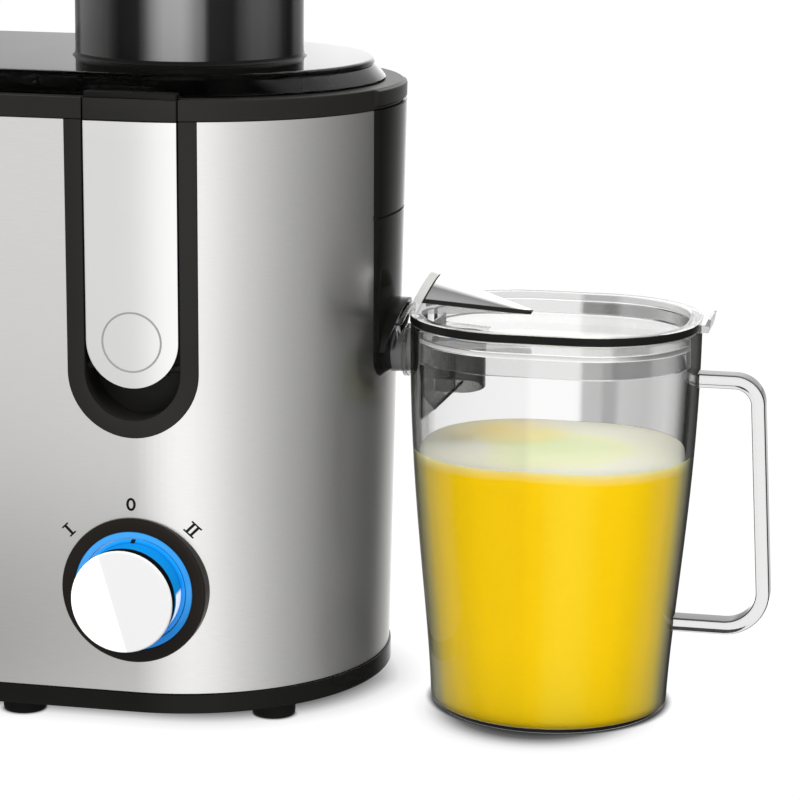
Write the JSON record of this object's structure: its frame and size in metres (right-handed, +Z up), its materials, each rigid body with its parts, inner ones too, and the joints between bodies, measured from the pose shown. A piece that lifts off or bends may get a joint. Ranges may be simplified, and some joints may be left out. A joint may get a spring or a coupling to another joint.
{
  "type": "centrifugal juicer",
  "caption": "Tall steel-wrapped juice extractor with a feed chute, pulp bin, front dial, side latches and a lidded jug under its spout.",
  "frame": {"origin": "middle of the footprint of housing, pulp bin and jug, on the table", "axes": "+X from the motor towards the jug, -Y towards the dial, +Z up"},
  "size_m": [0.4165, 0.1762, 0.3913],
  "materials": {
    "black_plastic": "fine satin",
    "gloss_black": "polished",
    "steel": "satin brushed",
    "bright_steel": "polished",
    "silver_plastic": "silver coat",
    "smoke": "tinted transparent",
    "clear": "clear transparent plastic",
    "rubber": "matt",
    "blue_lens": "translucent",
    "aluminium": "cast",
    "iron": "laminated",
    "copper": "wound wire",
    "white_plastic": "moulded",
    "board_green": "circuit board",
    "carbon": "pressed carbon"
  },
  "bodies": {
    "base": {"base_tray": "gloss_black", "rubber_feet": "rubber", "base_screws": "aluminium", "inner_housing": "black_plastic", "steel_wrap": "steel", "collar": "gloss_black", "front_latch_guide": "gloss_black", "rear_latch_guide": "gloss_black", "front_latch_pin": "bright_steel", "rear_latch_pin": "bright_steel", "spout_panel": "gloss_black", "dial_bezel": "gloss_black", "light_ring": "blue_lens", "rotary_switch": "black_plastic", "control_board": "board_green", "lid_switch": "black_plastic", "cord_inlet": "rubber", "lower_bracket": "aluminium", "upper_bracket": "aluminium", "stator": "iron", "stator_windings": "copper", "carbon_brushes": "carbon", "motor_dampers": "rubber", "juice_bowl": "smoke", "bowl_seal": "rubber", "juice_spout": "clear", "spout_ring": "smoke", "spout_visor": "smoke"},
    "rotor": {"motor_shaft": "bright_steel", "rotor_core": "iron", "commutator": "copper", "cooling_fan": "black_plastic", "drive_coupling": "black_plastic", "filter_basket": "steel", "basket_rim": "white_plastic", "grater_disc": "bright_steel"},
    "dial": {"dial_knob": "gloss_black", "dial_face": "silver_plastic", "dial_flange": "blue_lens"},
    "front_latch": {"front_latch_arm": "black_plastic", "front_latch_plate": "silver_plastic"},
    "rear_latch": {"rear_latch_arm": "black_plastic", "rear_latch_plate": "silver_plastic"},
    "lid_unit": {"lid": "smoke", "lid_skirt": "smoke", "lid_ring": "smoke", "feed_chute": "smoke"},
    "pusher_unit": {"pusher": "black_plastic", "pusher_cap": "gloss_black"},
    "bin_unit": {"pulp_bin": "smoke"},
    "jug_unit": {"jug": "clear", "jug_handle": "clear", "froth_separator": "smoke"},
    "jug_lid_unit": {"jug_lid": "smoke", "jug_lid_skirt": "smoke", "jug_hood": "smoke"}
  },
  "joints": [
    {"name": "dial_turn", "type": "hinge", "parent": "base", "child": "dial", "pos_m": [-0.0174, -0.073, 0.0551], "axis": [0, 1, 0], "range_deg": [-45, 45]},
    {"name": "basket_spin", "type": "hinge", "parent": "base", "child": "rotor", "pos_m": [-0.0174, 0.007, 0.1], "axis": [0, 0, 1], "continuous": true},
    {"name": "front_latch_swing", "type": "hinge", "parent": "base", "child": "front_latch", "pos_m": [-0.0174, -0.0679, 0.138], "axis": [1, 0, 0], "range_deg": [0, 70]},
    {"name": "rear_latch_swing", "type": "hinge", "parent": "base", "child": "rear_latch", "pos_m": [-0.0174, 0.0819, 0.138], "axis": [-1, 0, 0], "range_deg": [0, 70]},
    {"name": "lid_lift", "type": "slide", "parent": "base", "child": "lid_unit", "axis": [0, 0, 1], "range_m": [0, 0.12]},
    {"name": "pusher_lift", "type": "slide", "parent": "lid_unit", "child": "pusher_unit", "axis": [0, 0, 1], "range_m": [0, 0.1]},
    {"name": "bin_slide", "type": "slide", "parent": "base", "child": "bin_unit", "axis": [-1, 0, 0], "range_m": [0, 0.12]},
    {"name": "jug_slide", "type": "slide", "parent": "base", "child": "jug_unit", "axis": [1, 0, 0], "range_m": [0, 0.12]},
    {"name": "jug_lid_lift", "type": "slide", "parent": "jug_unit", "child": "jug_lid_unit", "axis": [0, 0, 1], "range_m": [0, 0.06]}
  ]
}
